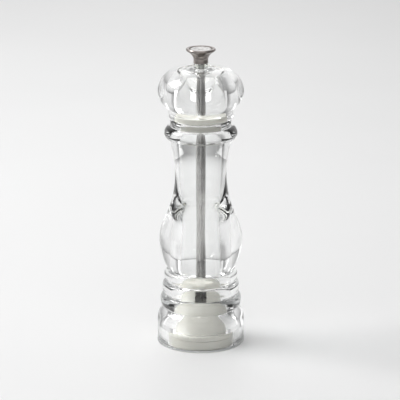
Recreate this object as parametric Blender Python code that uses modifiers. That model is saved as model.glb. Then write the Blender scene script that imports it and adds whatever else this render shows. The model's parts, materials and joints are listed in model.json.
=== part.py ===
"""Pepper mill with a clear turned body and head, a steel knob and a screw-adjusted grinder.

Units are metres, +Z is up, and the mill stands on z = 0 with its axis on the Z axis.
Run it with blender --background --python part.py or from the text editor.
"""

import math

import bmesh
import bpy
from mathutils import Matrix, Vector
from mathutils.geometry import interpolate_bezier

# ---------------------------------------------------------------- driving dimensions
# Overall sizes
mill_height = 0.2058
base_radius = 0.0300

# Radii of the turned outline, as shares of the base
lower_ring_radius = base_radius * 0.925
middle_ring_radius = base_radius * 0.881
upper_ring_radius = base_radius * 0.840
lower_groove_radius = base_radius * 0.839
middle_groove_radius = base_radius * 0.831
upper_groove_radius = base_radius * 0.789
belly_foot_radius = base_radius * 0.727
belly_radius = base_radius * 0.945
waist_radius = base_radius * 0.583
bead_foot_radius = base_radius * 0.700
bead_radius = base_radius * 0.826
collar_radius = base_radius * 0.686
skirt_radius = base_radius * 0.724
head_radius = base_radius * 0.966
head_top_radius = base_radius * 0.358
head_recess_radius = base_radius * 0.340

# Levels of the turned outline, as shares of the height
base_edge_level = mill_height * 0.078
lower_groove_level = mill_height * 0.1215
lower_ring_level = mill_height * 0.151
middle_groove_level = mill_height * 0.1685
middle_ring_level = mill_height * 0.1955
upper_groove_level = mill_height * 0.211
upper_ring_level = mill_height * 0.2335
belly_foot_level = mill_height * 0.2525
belly_level = mill_height * 0.356
waist_level = mill_height * 0.588
bead_foot_level = mill_height * 0.6995
bead_level = mill_height * 0.7175
bead_top_level = mill_height * 0.742
rim_level = mill_height * 0.760
skirt_top_level = mill_height * 0.801
head_wide_level = mill_height * 0.8595
head_top_level = mill_height * 0.936

# Walls, clearances and edges
joint_gap = 0.0003
running_gap = 0.0005
edge_break = 0.0005
waist_wall = 0.0032
bore_taper = 0.0008
base_wall = 0.0075
foot_lip = 0.0003
foot_lip_height = 0.0018
head_ceiling = 0.0038
head_wall = 0.0119

# Shaft, knob and thread
shaft_side = 0.0048
thread_radius = 0.00245
thread_pitch = 0.0008
adjust_travel = 0.0008
knob_rim_radius = 0.0100
knob_stem_radius = 0.00490
glide_ring_height = 0.0028

# Grinder
grinder_foot = 0.0065
flange_level = 0.0100
band_top_level = 0.0305
bridge_top_level = 0.0450
bridge_thickness = 0.0032
stator_height = 0.0110
band_step = 0.0048
stator_wall = 0.0019
neck_wall = 0.0017
neck_window_height = 0.0052
neck_window_width = 0.0066
neck_window_drop = 0.0026
grind_gap = 0.0007
tooth_count = 12
spring_wire_radius = 0.00055
spring_turns = 5

# Sides of the turned pieces
large_sides = 36
small_sides = 24
screw_sides = 12

# ---------------------------------------------------------------- derived sizes
base_side_radius = base_radius - foot_lip
bore_top_radius = waist_radius - waist_wall
bore_foot_radius = bore_top_radius - bore_taper
grinder_radius = base_radius - base_wall - joint_gap
band_radius = grinder_radius - band_step
bridge_radius = bore_foot_radius - joint_gap
stator_radius = band_radius - stator_wall
stator_foot = grinder_foot
stator_top = stator_foot + stator_height
stator_exit_radius = stator_radius - 0.0027
stator_throat_radius = stator_radius - 0.0049
stator_entry_radius = stator_radius - 0.0042
throat_level = stator_foot + stator_height * 0.5
shaft_corner = shaft_side / math.sqrt(2)
square_hole_side = shaft_side + 2 * joint_gap
clear_hole_radius = shaft_corner + running_gap
core_radius = square_hole_side / math.sqrt(2) + 0.0014
rotor_exit_radius = stator_exit_radius - grind_gap
rotor_throat_radius = stator_throat_radius - grind_gap
rotor_top_radius = core_radius + 0.0016
core_flange_level = stator_top + 0.0008
core_flange_height = 0.0016
head_joint = rim_level + running_gap
plug_flange_radius = skirt_radius - 0.0039
plug_flange_height = 0.0043
plug_spigot_radius = bore_top_radius - running_gap
plug_spigot_level = head_joint - 0.0084
plate_thickness = 0.0011
cavity_foot_radius = head_radius - head_wall
cavity_top_radius = cavity_foot_radius - 0.0029
cavity_top_level = head_top_level - head_ceiling
boss_level = cavity_top_level - 0.0064
knob_foot_level = head_top_level + glide_ring_height + joint_gap
thread_top_level = mill_height - 0.0058

PARTS = "pepper_mill"
CUTTERS = "cutters"


# ---------------------------------------------------------------- scene and materials
def clear_scene():
    """Remove everything that the file opened with."""
    for obj in list(bpy.data.objects):
        bpy.data.objects.remove(obj, do_unlink=True)
    for collection in list(bpy.data.collections):
        bpy.data.collections.remove(collection)
    for name in (PARTS, CUTTERS):
        bpy.context.scene.collection.children.link(bpy.data.collections.new(name))


def material(name, colour, roughness, metallic=0.0, transmission=0.0):
    """A Principled material, made once and shared by name."""
    found = bpy.data.materials.get(name)
    if found:
        return found
    made = bpy.data.materials.new(name)
    made.use_nodes = True
    shader = made.node_tree.nodes["Principled BSDF"]
    shader.inputs["Base Color"].default_value = (*colour, 1.0)
    shader.inputs["Roughness"].default_value = roughness
    shader.inputs["Metallic"].default_value = metallic
    shader.inputs["Transmission Weight"].default_value = transmission
    return made


def clear_acrylic(node):
    return material(f"{node}_acrylic", (0.93, 0.95, 0.95), 0.03, 0.0, 1.0)


def white_plastic(node):
    return material(f"{node}_plastic", (0.82, 0.81, 0.77), 0.38)


def polished_steel(node):
    return material(f"{node}_steel", (0.58, 0.56, 0.54), 0.22, 1.0)


def ceramic(node):
    return material(f"{node}_ceramic", (0.86, 0.84, 0.80), 0.50)


# ---------------------------------------------------------------- modelling helpers
def link(obj, collection=PARTS):
    bpy.data.collections[collection].objects.link(obj)
    return obj


def applied(obj):
    """Swap the object's mesh or curve for its evaluated mesh and return the new object."""
    bpy.context.view_layer.update()
    graph = bpy.context.evaluated_depsgraph_get()
    mesh = bpy.data.meshes.new_from_object(obj.evaluated_get(graph))
    name = obj.name
    place = obj.matrix_world.copy()
    collection = obj.users_collection[0].name
    bpy.data.objects.remove(obj, do_unlink=True)
    fresh = link(bpy.data.objects.new(name, mesh), collection)
    mesh.name = name
    fresh.matrix_world = place
    return fresh


def turned(name, profile, sides, ring=True, collection=PARTS):
    """Turn a profile of (radius, level) points, given down the outer side first, about Z."""
    count = len(profile)
    mesh = bpy.data.meshes.new(name)
    edges = [(i, i + 1) for i in range(count - 1)]
    if ring:
        edges.append((count - 1, 0))
    mesh.from_pydata([(radius, 0.0, level) for radius, level in profile], edges, [])
    obj = link(bpy.data.objects.new(name, mesh), collection)
    screw = obj.modifiers.new("Turn", "SCREW")
    screw.axis = "Z"
    screw.angle = math.tau
    screw.steps = sides
    screw.render_steps = sides
    screw.use_merge_vertices = True
    screw.merge_threshold = 0.00001
    return applied(obj)


def from_bmesh(name, shape, collection=CUTTERS):
    mesh = bpy.data.meshes.new(name)
    shape.to_mesh(mesh)
    shape.free()
    return link(bpy.data.objects.new(name, mesh), collection)


def rod(name, radius, low, high, sides=screw_sides, at=(0.0, 0.0), collection=CUTTERS):
    """An upright cylinder between two levels."""
    shape = bmesh.new()
    middle = Matrix.Translation((at[0], at[1], (low + high) / 2))
    bmesh.ops.create_cone(shape, cap_ends=True, segments=sides, radius1=radius, radius2=radius,
                          depth=high - low, matrix=middle)
    return from_bmesh(name, shape, collection)


def square_bar(name, side, low, high, collection=CUTTERS):
    """An upright square bar that shows one corner to the front."""
    shape = bmesh.new()
    place = Matrix.Translation((0.0, 0.0, (low + high) / 2)) @ Matrix.Rotation(math.pi / 4, 4, "Z")
    size = Matrix.Diagonal((side, side, high - low, 1.0))
    bmesh.ops.create_cube(shape, size=1.0, matrix=place @ size)
    return from_bmesh(name, shape, collection)


def block(name, size, centre, angle=0.0):
    """A box turned about the mill's axis, for slots and arms."""
    shape = bmesh.new()
    place = Matrix.Rotation(angle, 4, "Z") @ Matrix.Translation(centre)
    bmesh.ops.create_cube(shape, size=1.0, matrix=place @ Matrix.Diagonal((*size, 1.0)))
    return from_bmesh(name, shape)


def groove(name, low_point, high_point, width):
    """A slanted three-sided bar between two points, which cuts one tooth gap."""
    shape = bmesh.new()
    run = high_point - low_point
    turn = run.to_track_quat("Z", "Y").to_matrix().to_4x4()
    place = Matrix.Translation((low_point + high_point) / 2) @ turn
    bmesh.ops.create_cone(shape, cap_ends=True, segments=4, radius1=width, radius2=width,
                          depth=run.length, matrix=place)
    return from_bmesh(name, shape)


def combine(obj, others, operation):
    """Apply one exact Boolean for each other object, then remove it."""
    for other in others:
        boolean = obj.modifiers.new("Cut", "BOOLEAN")
        boolean.operation = operation
        boolean.solver = "EXACT"
        boolean.object = other
        other.hide_render = True
        other.display_type = "WIRE"
    result = applied(obj)
    for other in others:
        bpy.data.objects.remove(other, do_unlink=True)
    return result


def finish(obj, surface, sharp=math.radians(32)):
    """Shade a piece smooth, keep its edges and give it its material."""
    obj.data.shade_smooth()
    obj.data.set_sharp_from_angle(angle=sharp)
    obj.data.materials.clear()
    obj.data.materials.append(surface)
    return obj


def curve(start, lean_start, lean_end, end, count):
    """Points of a Bezier curve after its start."""
    knots = [Vector((radius, level, 0.0)) for radius, level in (start, lean_start, lean_end, end)]
    return [(point.x, point.y) for point in interpolate_bezier(*knots, count + 1)[1:]]


def swell(top, crest, foot, count=3):
    """A bead: quarter ovals from the top point out to the crest and back in to the foot."""
    points = []
    for step in range(1, count + 1):
        turn = math.pi / 2 * step / count
        points.append((top[0] + (crest[0] - top[0]) * math.sin(turn),
                       crest[1] + (top[1] - crest[1]) * math.cos(turn)))
    for step in range(1, count + 1):
        turn = math.pi / 2 * step / count
        points.append((foot[0] + (crest[0] - foot[0]) * math.cos(turn),
                       crest[1] + (foot[1] - crest[1]) * math.sin(turn)))
    return points


def on_circle(radius, index, count, level, offset=0.0):
    turn = math.tau * index / count + offset
    return Vector((radius * math.cos(turn), radius * math.sin(turn), level))


# ---------------------------------------------------------------- clear body and head
def body_outline():
    """Outer side of the body, from its rim down to its foot."""
    waist = (waist_radius, waist_level)
    belly = (belly_radius, belly_level)
    bead_foot = (bead_foot_radius, bead_foot_level)
    upper_groove = (upper_groove_radius, upper_groove_level)
    middle_groove = (middle_groove_radius, middle_groove_level)
    lower_groove = (lower_groove_radius, lower_groove_level)
    belly_foot = (belly_foot_radius, belly_foot_level)
    neck = bead_foot_level - waist_level
    flank = belly_level - belly_foot_level
    fall = waist_level - belly_level
    shoulder = lower_groove_level - base_edge_level

    points = [(collar_radius - edge_break, rim_level), (collar_radius, rim_level - edge_break)]
    points.append((collar_radius, bead_top_level + edge_break))
    points.append((collar_radius, bead_top_level))
    points += swell(points[-1], (bead_radius, bead_level), bead_foot)
    points += curve(bead_foot, (bead_foot_radius - 0.0014, bead_foot_level - neck * 0.35),
                    (waist_radius, waist_level + neck * 0.40), waist, 5)
    points += curve(waist, (waist_radius, waist_level - fall * 0.574),
                    (belly_radius, belly_level + fall * 0.29), belly, 11)
    points += curve(belly, (belly_radius, belly_level - flank * 0.34),
                    (belly_foot_radius + 0.0044, belly_foot_level + flank * 0.21), belly_foot, 5)
    points += swell(belly_foot, (upper_ring_radius, upper_ring_level), upper_groove)
    points += swell(upper_groove, (middle_ring_radius, middle_ring_level), middle_groove)
    points += swell(middle_groove, (lower_ring_radius, lower_ring_level), lower_groove)
    points += curve(lower_groove, (base_side_radius * 0.940, lower_groove_level - shoulder * 0.26),
                    (base_side_radius, base_edge_level + shoulder * 0.56),
                    (base_side_radius, base_edge_level), 5)
    points += [(base_side_radius, foot_lip_height), (base_radius, foot_lip_height - edge_break)]
    points += [(base_radius, edge_break), (base_radius - edge_break, 0.0)]
    return points


def body_bore():
    """Bore of the body, from the grinder's recess at the foot up to the mouth."""
    recess_radius = grinder_radius + joint_gap
    band_bore_radius = band_radius + joint_gap
    step_level = flange_level + joint_gap
    band_level = band_top_level + joint_gap
    return [
        (recess_radius + edge_break, 0.0),
        (recess_radius, edge_break),
        (recess_radius, step_level),
        (band_bore_radius, step_level),
        (band_bore_radius, band_level),
        (bore_foot_radius, band_level),
        (bore_foot_radius, bridge_top_level + edge_break),
        (bore_top_radius, waist_level),
        (bore_top_radius, rim_level - edge_break),
        (bore_top_radius + edge_break, rim_level),
    ]


def make_body_shell():
    shell = turned("body_shell", body_outline() + body_bore(), large_sides)
    return finish(shell, clear_acrylic("body_shell"))


def head_outline():
    """Outer side of the head, from the ring recess round the knob down to the skirt."""
    top = (head_top_radius, head_top_level)
    wide = (head_radius, head_wide_level)
    skirt_top = (skirt_radius, skirt_top_level)
    rise = head_top_level - head_wide_level
    drop = head_wide_level - skirt_top_level
    points = [
        (head_recess_radius - edge_break, head_top_level - edge_break),
        (head_recess_radius, head_top_level),
        top,
    ]
    points += curve(top, (head_radius * 0.818, head_top_level - rise * 0.015),
                    (head_radius, head_wide_level + rise * 0.43), wide, 9)
    points += curve(wide, (head_radius, head_wide_level - drop * 0.42),
                    (head_radius * 0.895, skirt_top_level + drop * 0.20), skirt_top, 6)
    points += [(skirt_radius, head_joint + 0.0030), (skirt_radius - 0.0009, head_joint + 0.0012)]
    points.append((skirt_radius - 0.0028, head_joint))
    return points


def head_hollow():
    """Recess for the plug, the hollow and the boss round the thread, from the foot upwards."""
    recess_radius = plug_flange_radius + joint_gap
    recess_level = head_joint + plug_flange_height + joint_gap
    bore_radius = thread_radius + running_gap
    return [
        (recess_radius, head_joint),
        (recess_radius, recess_level),
        (cavity_foot_radius, recess_level),
        (cavity_foot_radius - 0.0005, head_wide_level - 0.0040),
        (cavity_top_radius + 0.0008, cavity_top_level - 0.0030),
        (cavity_top_radius - 0.0010, cavity_top_level - 0.0006),
        (cavity_top_radius - 0.0030, cavity_top_level),
        (0.0077, cavity_top_level),
        (0.0060, cavity_top_level - 0.0030),
        (0.0042, boss_level),
        (bore_radius, boss_level),
        (bore_radius, head_top_level - edge_break),
    ]


def make_head_cap():
    cap = turned("head_cap", head_outline() + head_hollow(), large_sides)
    return finish(cap, clear_acrylic("head_cap"))


# ---------------------------------------------------------------- plug and drive plate
def plate_screw_places():
    reach = plug_spigot_radius * 0.52
    return [(reach, 0.0), (-reach, 0.0)]


def make_head_plug():
    """Plug that closes the head and centres it in the body's mouth."""
    flange_top = head_joint + plug_flange_height
    profile = [
        (clear_hole_radius + 0.0005, flange_top),
        (plug_flange_radius - edge_break, flange_top),
        (plug_flange_radius, flange_top - edge_break),
        (plug_flange_radius, head_joint),
        (plug_spigot_radius, head_joint),
        (plug_spigot_radius, plug_spigot_level + edge_break),
        (plug_spigot_radius - edge_break, plug_spigot_level),
        (clear_hole_radius + 0.0005, plug_spigot_level),
    ]
    plug = turned("head_plug", profile, large_sides)
    holes = [rod(f"plug_hole_{i}", 0.0014, plug_spigot_level - 0.001, plug_spigot_level + 0.0065, at=at)
             for i, at in enumerate(plate_screw_places())]
    return finish(combine(plug, holes, "DIFFERENCE"), white_plastic("head_plug"))


def make_drive_plate():
    """Steel disc whose square hole turns the shaft."""
    top = plug_spigot_level - joint_gap
    foot = top - plate_thickness
    plate = rod("drive_plate", plug_spigot_radius * 0.72, foot, top, small_sides, collection=PARTS)
    cuts = [square_bar("square_hole", square_hole_side, foot - 0.001, top + 0.001)]
    cuts += [rod(f"plate_hole_{i}", 0.0014, foot - 0.001, top + 0.001, at=at)
             for i, at in enumerate(plate_screw_places())]
    return finish(combine(plate, cuts, "DIFFERENCE"), polished_steel("drive_plate"))


def make_screw(name, at, seat, length, head_radius_here, shank_radius, head_height=0.0013):
    """Slotted screw driven upwards, its head just under the seat level."""
    top = seat - joint_gap
    head_foot = top - head_height
    profile = [
        (0.0, seat + length),
        (shank_radius * 0.6, seat + length),
        (shank_radius, seat + length - 0.0006),
        (shank_radius, top),
        (head_radius_here, top),
        (head_radius_here, top - head_height * 0.5),
        (head_radius_here * 0.75, head_foot),
        (0.0, head_foot),
    ]
    screw = turned(name, profile, screw_sides, ring=False)
    slot = block(f"{name}_slot", (head_radius_here * 3, head_radius_here * 0.30, head_height * 0.8),
                 (0.0, 0.0, head_foot), 0.0)
    screw = combine(screw, [slot], "DIFFERENCE")
    screw.location = (at[0], at[1], 0.0)
    return finish(screw, polished_steel(name))


def make_plate_screws():
    seat = plug_spigot_level - joint_gap - plate_thickness
    for number, at in enumerate(plate_screw_places(), start=1):
        make_screw(f"plate_screw_{number}", at, seat, 0.0070, 0.0021, 0.0011)


# ---------------------------------------------------------------- shaft and knob
def make_shaft():
    """Square bar with a round threaded end on top and a tapped hole in its foot."""
    square_top = boss_level - adjust_travel - running_gap
    shaft = square_bar("shaft", shaft_side, grinder_foot, square_top, collection=PARTS)
    end_profile = [
        (0.0, thread_top_level),
        (thread_radius - 0.0004, thread_top_level),
        (thread_radius, thread_top_level - 0.0004),
        (thread_radius, square_top - 0.0020),
        (0.0, square_top - 0.0020),
    ]
    thread_end = turned("thread_end", end_profile, small_sides, ring=False, collection=CUTTERS)
    shaft = combine(shaft, [thread_end], "UNION")
    tapped_hole = rod("tapped_hole", 0.0015, grinder_foot - 0.001, grinder_foot + 0.0095)
    return finish(combine(shaft, [tapped_hole], "DIFFERENCE"), polished_steel("shaft"))


def make_knob():
    """Trumpet-shaped knob with a blind threaded bore and a dished top."""
    dish_radius = knob_rim_radius * 0.74
    dish_level = mill_height - 0.0011
    flare = mill_height - knob_foot_level
    rim_foot = (knob_rim_radius - 0.0004, mill_height - 0.0016)
    stem = (knob_stem_radius, knob_foot_level + flare * 0.20)
    bore_radius = thread_radius + running_gap
    bore_top = thread_top_level + adjust_travel + running_gap
    profile = [
        (0.0, dish_level),
        (dish_radius, dish_level),
        (dish_radius + 0.0003, mill_height - 0.0002),
        (dish_radius + 0.0007, mill_height),
        (knob_rim_radius - 0.0005, mill_height),
        (knob_rim_radius, mill_height - 0.0005),
        (knob_rim_radius, mill_height - 0.0010),
        rim_foot,
    ]
    profile += curve(rim_foot, (knob_rim_radius * 0.700, mill_height - flare * 0.31),
                     (knob_stem_radius, knob_foot_level + flare * 0.48), stem, 7)
    profile += [
        (knob_stem_radius + 0.0001, knob_foot_level + edge_break),
        (knob_stem_radius - 0.0002, knob_foot_level),
        (bore_radius, knob_foot_level),
        (bore_radius, bore_top),
        (0.0, bore_top),
    ]
    return finish(turned("knob", profile, 32, ring=False), polished_steel("knob"))


def make_knob_inlay():
    """Bright disc of plain raised rings that lies in the knob's dish."""
    foot = mill_height - 0.0011 + joint_gap
    radius = knob_rim_radius * 0.74 - joint_gap
    top = mill_height - 0.0002
    profile = [
        (0.0, top),
        (radius * 0.22, top),
        (radius * 0.30, top - 0.0003),
        (radius * 0.58, top - 0.0003),
        (radius * 0.66, top),
        (radius * 0.92, top),
        (radius, top - 0.0002),
        (radius, foot),
        (0.0, foot),
    ]
    return finish(turned("knob_inlay", profile, 32, ring=False), polished_steel("knob_inlay"))


def make_glide_ring():
    """Clear ring between the knob and the head."""
    foot = head_top_level - edge_break + joint_gap
    top = knob_foot_level - joint_gap
    bore_radius = thread_radius + running_gap
    profile = [
        (bore_radius, top),
        (knob_stem_radius - 0.0003, top),
        (knob_stem_radius, top - 0.0003),
        (knob_stem_radius, foot + 0.0003),
        (knob_stem_radius - 0.0003, foot),
        (bore_radius, foot),
    ]
    return finish(turned("glide_ring", profile, small_sides), clear_acrylic("glide_ring"))


# ---------------------------------------------------------------- grinder
def housing_screw_places():
    reach = stator_radius + (grinder_radius - stator_radius) * 0.45
    return [tuple(on_circle(reach, i, 3, 0.0, math.pi / 2)[:2]) for i in range(3)]


def make_grinder_housing():
    """Stepped housing: a flange, a band round the stator, a legged neck and a bridge."""
    bridge_foot = bridge_top_level - bridge_thickness
    neck_bore = bridge_radius - neck_wall
    profile = [
        (clear_hole_radius, bridge_top_level),
        (bridge_radius - edge_break, bridge_top_level),
        (bridge_radius, bridge_top_level - edge_break),
        (bridge_radius, band_top_level),
        (band_radius, band_top_level),
        (band_radius, flange_level),
        (grinder_radius, flange_level),
        (grinder_radius, grinder_foot),
        (stator_radius + joint_gap, grinder_foot),
        (stator_radius + joint_gap, stator_top + joint_gap),
        (band_radius - 0.0040, stator_top + joint_gap),
        (band_radius - 0.0040, band_top_level - 0.0025),
        (neck_bore, band_top_level + 0.0015),
        (neck_bore, bridge_foot),
        (clear_hole_radius, bridge_foot),
    ]
    housing = turned("grinder_housing", profile, large_sides)
    cuts = [bridge_window(i, neck_bore, bridge_foot) for i in range(3)]
    window_size = (neck_wall * 2.4, neck_window_width, neck_window_height)
    window_place = (bridge_radius - neck_wall * 0.5, 0.0,
                    bridge_foot - neck_window_drop - neck_window_height / 2)
    cuts += [block(f"neck_window_{i}", window_size, window_place, math.tau * i / 3 + math.pi / 6)
             for i in range(3)]
    cuts += [rod(f"housing_hole_{i}", 0.0014, grinder_foot - 0.001, flange_level - 0.0006, at=at)
             for i, at in enumerate(housing_screw_places())]
    return finish(combine(housing, cuts, "DIFFERENCE"), white_plastic("grinder_housing"))


def bridge_window(index, outer_radius, bridge_foot):
    """One third of a ring, less half an arm on each side."""
    hub_radius = clear_hole_radius + 0.0022
    arm = 0.0034
    low = bridge_foot - 0.001
    high = bridge_top_level + 0.001
    start = math.tau * index / 3 + math.pi / 6
    count = 8
    outline = []
    for radius, order in ((outer_radius - 0.0002, 1), (hub_radius, -1)):
        lean = math.asin(arm / 2 / radius)
        sweep = math.tau / 3 - 2 * lean
        arc = [start + lean + sweep * step / count for step in range(count + 1)]
        outline += [(radius * math.cos(a), radius * math.sin(a), low) for a in arc[::order]]
    shape = bmesh.new()
    face = shape.faces.new([shape.verts.new(point) for point in outline])
    raised = bmesh.ops.extrude_face_region(shape, geom=[face])
    tops = [item for item in raised["geom"] if isinstance(item, bmesh.types.BMVert)]
    bmesh.ops.translate(shape, vec=(0.0, 0.0, high - low), verts=tops)
    bmesh.ops.recalc_face_normals(shape, faces=shape.faces)
    return from_bmesh(f"bridge_window_{index}", shape)


def make_stator():
    """Fixed grinding ring with slanted grooves up its inner side."""
    profile = [
        (stator_entry_radius, stator_top),
        (stator_radius, stator_top),
        (stator_radius, stator_foot),
        (stator_exit_radius, stator_foot),
        (stator_throat_radius, throat_level),
    ]
    stator = turned("stator", profile, small_sides * 2)
    grooves = []
    for i in range(tooth_count):
        low_point = on_circle(stator_exit_radius + 0.0004, i, tooth_count, stator_foot - 0.0008)
        high_point = on_circle(stator_entry_radius, i, tooth_count, stator_top + 0.0008, 0.30)
        grooves.append(groove(f"stator_groove_{i}", low_point, high_point, 0.0011))
    return finish(combine(stator, grooves, "DIFFERENCE"), ceramic("stator"))


def make_rotor():
    """Turning cone with grooves that slant the other way."""
    rotor_top = stator_top + 0.0005
    profile = [
        (core_radius + joint_gap, rotor_top),
        (rotor_top_radius, rotor_top),
        (rotor_throat_radius, throat_level),
        (rotor_exit_radius, stator_foot),
        (core_radius + joint_gap, stator_foot),
    ]
    rotor = turned("rotor", profile, small_sides * 2)
    grooves = []
    for i in range(tooth_count - 2):
        low_point = on_circle(rotor_exit_radius + 0.0002, i, tooth_count - 2, stator_foot - 0.0008)
        high_point = on_circle(rotor_top_radius + 0.0010, i, tooth_count - 2, rotor_top + 0.0008, -0.45)
        grooves.append(groove(f"rotor_groove_{i}", low_point, high_point, 0.0012))
    return finish(combine(rotor, grooves, "DIFFERENCE"), ceramic("rotor"))


def make_rotor_core():
    """Flanged bush that drives the rotor from the square shaft."""
    flange_top = core_flange_level + core_flange_height
    profile = [
        (0.0, flange_top),
        (rotor_top_radius, flange_top),
        (rotor_top_radius, core_flange_level),
        (core_radius, core_flange_level),
        (core_radius, stator_foot + 0.0002),
        (0.0, stator_foot + 0.0002),
    ]
    core = turned("rotor_core", profile, small_sides, ring=False)
    hole = square_bar("core_hole", square_hole_side, grinder_foot - 0.001, flange_top + 0.001)
    return finish(combine(core, [hole], "DIFFERENCE"), white_plastic("rotor_core"))


def make_washer(name, inner_radius, outer_radius, low, high, surface):
    profile = [(inner_radius, high), (outer_radius, high), (outer_radius, low), (inner_radius, low)]
    return finish(turned(name, profile, small_sides), surface)


def spring_levels():
    """Foot and top of the spring, between the core's washer and the bridge's washer."""
    foot = core_flange_level + core_flange_height + 0.0008 + 2 * joint_gap
    top = bridge_top_level - bridge_thickness - 0.0008 - 2 * joint_gap
    return foot, top


def make_spring_washers():
    foot, top = spring_levels()
    outer_radius = clear_hole_radius + 0.0020
    make_washer("spring_foot_washer", clear_hole_radius, outer_radius,
                foot - joint_gap - 0.0008, foot - joint_gap, polished_steel("spring_foot_washer"))
    make_washer("spring_top_washer", clear_hole_radius, outer_radius,
                top + joint_gap, top + joint_gap + 0.0008, polished_steel("spring_top_washer"))


def make_spring():
    """Round-wire coil about the shaft, with a flat turn at each end."""
    foot, top = spring_levels()
    coil_radius = clear_hole_radius + 0.0011
    points_per_turn = 14
    count = spring_turns * points_per_turn
    low = foot + spring_wire_radius
    rise = top - foot - 2 * spring_wire_radius
    data = bpy.data.curves.new("spring", "CURVE")
    data.dimensions = "3D"
    data.bevel_depth = spring_wire_radius
    data.bevel_resolution = 2
    data.use_fill_caps = True
    spline = data.splines.new("POLY")
    spline.points.add(count)
    for i, point in enumerate(spline.points):
        along = i / count
        eased = min(max((along * spring_turns - 0.75) / (spring_turns - 1.5), 0.0), 1.0)
        level = low + rise * eased + spring_wire_radius * 2.3 * (min(along * spring_turns, 0.75)
                                                                   + max(along * spring_turns
                                                                         - spring_turns + 0.75, 0.0)
                                                                   - 1.5 * eased)
        turn = math.tau * along * spring_turns
        point.co = (coil_radius * math.cos(turn), coil_radius * math.sin(turn), level, 1.0)
    coil = applied(link(bpy.data.objects.new("spring", data)))
    shape = bmesh.new()
    shape.from_mesh(coil.data)
    bmesh.ops.remove_doubles(shape, verts=shape.verts, dist=0.00001)
    shape.to_mesh(coil.data)
    shape.free()
    return finish(coil, polished_steel("spring"))


def make_stator_clamp():
    """Ring that holds the stator in the housing from below."""
    top = grinder_foot - joint_gap
    web = top - 0.0020
    foot = 0.0004
    outer_radius = grinder_radius - 0.0001
    profile = [
        (stator_exit_radius + 0.0008, top),
        (outer_radius, top),
        (outer_radius, foot),
        (outer_radius - 0.0012, foot),
        (outer_radius - 0.0014, web),
        (stator_exit_radius + 0.0008, web),
    ]
    clamp = turned("stator_clamp", profile, large_sides)
    holes = [rod(f"clamp_hole_{i}", 0.0014, web - 0.001, top + 0.001, at=at)
             for i, at in enumerate(housing_screw_places())]
    return finish(combine(clamp, holes, "DIFFERENCE"), white_plastic("stator_clamp"))


def make_housing_screws():
    seat = grinder_foot - joint_gap - 0.0020
    length = flange_level - 0.0009 - seat
    for number, at in enumerate(housing_screw_places(), start=1):
        make_screw(f"housing_screw_{number}", at, seat, length, 0.0018, 0.0011)


def make_rotor_retainer():
    """Washer and end screw that hold the rotor on the shaft's foot."""
    washer_top = grinder_foot - joint_gap
    washer_foot = washer_top - 0.0010
    make_washer("rotor_washer", 0.0018, rotor_top_radius, washer_foot, washer_top,
                polished_steel("rotor_washer"))
    make_screw("rotor_screw", (0.0, 0.0), washer_foot, 0.0090, 0.0032, 0.0012, 0.0018)


# ---------------------------------------------------------------- assembly
def make_joint_empty(name, location, children, parent=None):
    """An empty on a joint's axis that carries the pieces that move with it."""
    empty = link(bpy.data.objects.new(name, None))
    empty.location = location
    empty.empty_display_size = 0.01
    if parent:
        empty.parent = parent
        empty.matrix_parent_inverse = Matrix.Translation(-parent.location)
    for child in children:
        obj = bpy.data.objects[child]
        obj.parent = empty
        obj.matrix_parent_inverse = Matrix.Translation(-empty.location)
    return empty


def main():
    clear_scene()
    make_body_shell()
    make_grinder_housing()
    make_stator()
    make_stator_clamp()
    make_housing_screws()
    make_rotor()
    make_rotor_core()
    make_rotor_retainer()
    make_spring_washers()
    make_spring()
    make_shaft()
    make_head_cap()
    make_head_plug()
    make_drive_plate()
    make_plate_screws()
    make_glide_ring()
    make_knob()
    make_knob_inlay()
    turning = make_joint_empty("turning_axis", (0.0, 0.0, 0.0), ["spring", "spring_top_washer"])
    make_joint_empty("spindle_axis", (0.0, 0.0, 0.0),
                     ["shaft", "rotor", "rotor_core", "rotor_washer", "rotor_screw",
                      "spring_foot_washer"], turning)
    head = make_joint_empty("head_axis", (0.0, 0.0, 0.0),
                            ["head_cap", "head_plug", "drive_plate", "plate_screw_1",
                             "plate_screw_2"], turning)
    make_joint_empty("knob_axis", (0.0, 0.0, 0.0), ["glide_ring", "knob", "knob_inlay"], head)


main()
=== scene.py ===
"""A clear turned pepper mill, finished piece by piece over its engineering model.

Laid out as an add-on: sizes and colours are properties, each piece or group of pieces is an
operator, and a panel in the 3D view's sidebar lists them. main() runs the operators in order.
"""

import json
import math

import bmesh
import bpy
from mathutils import Matrix, Vector


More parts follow.
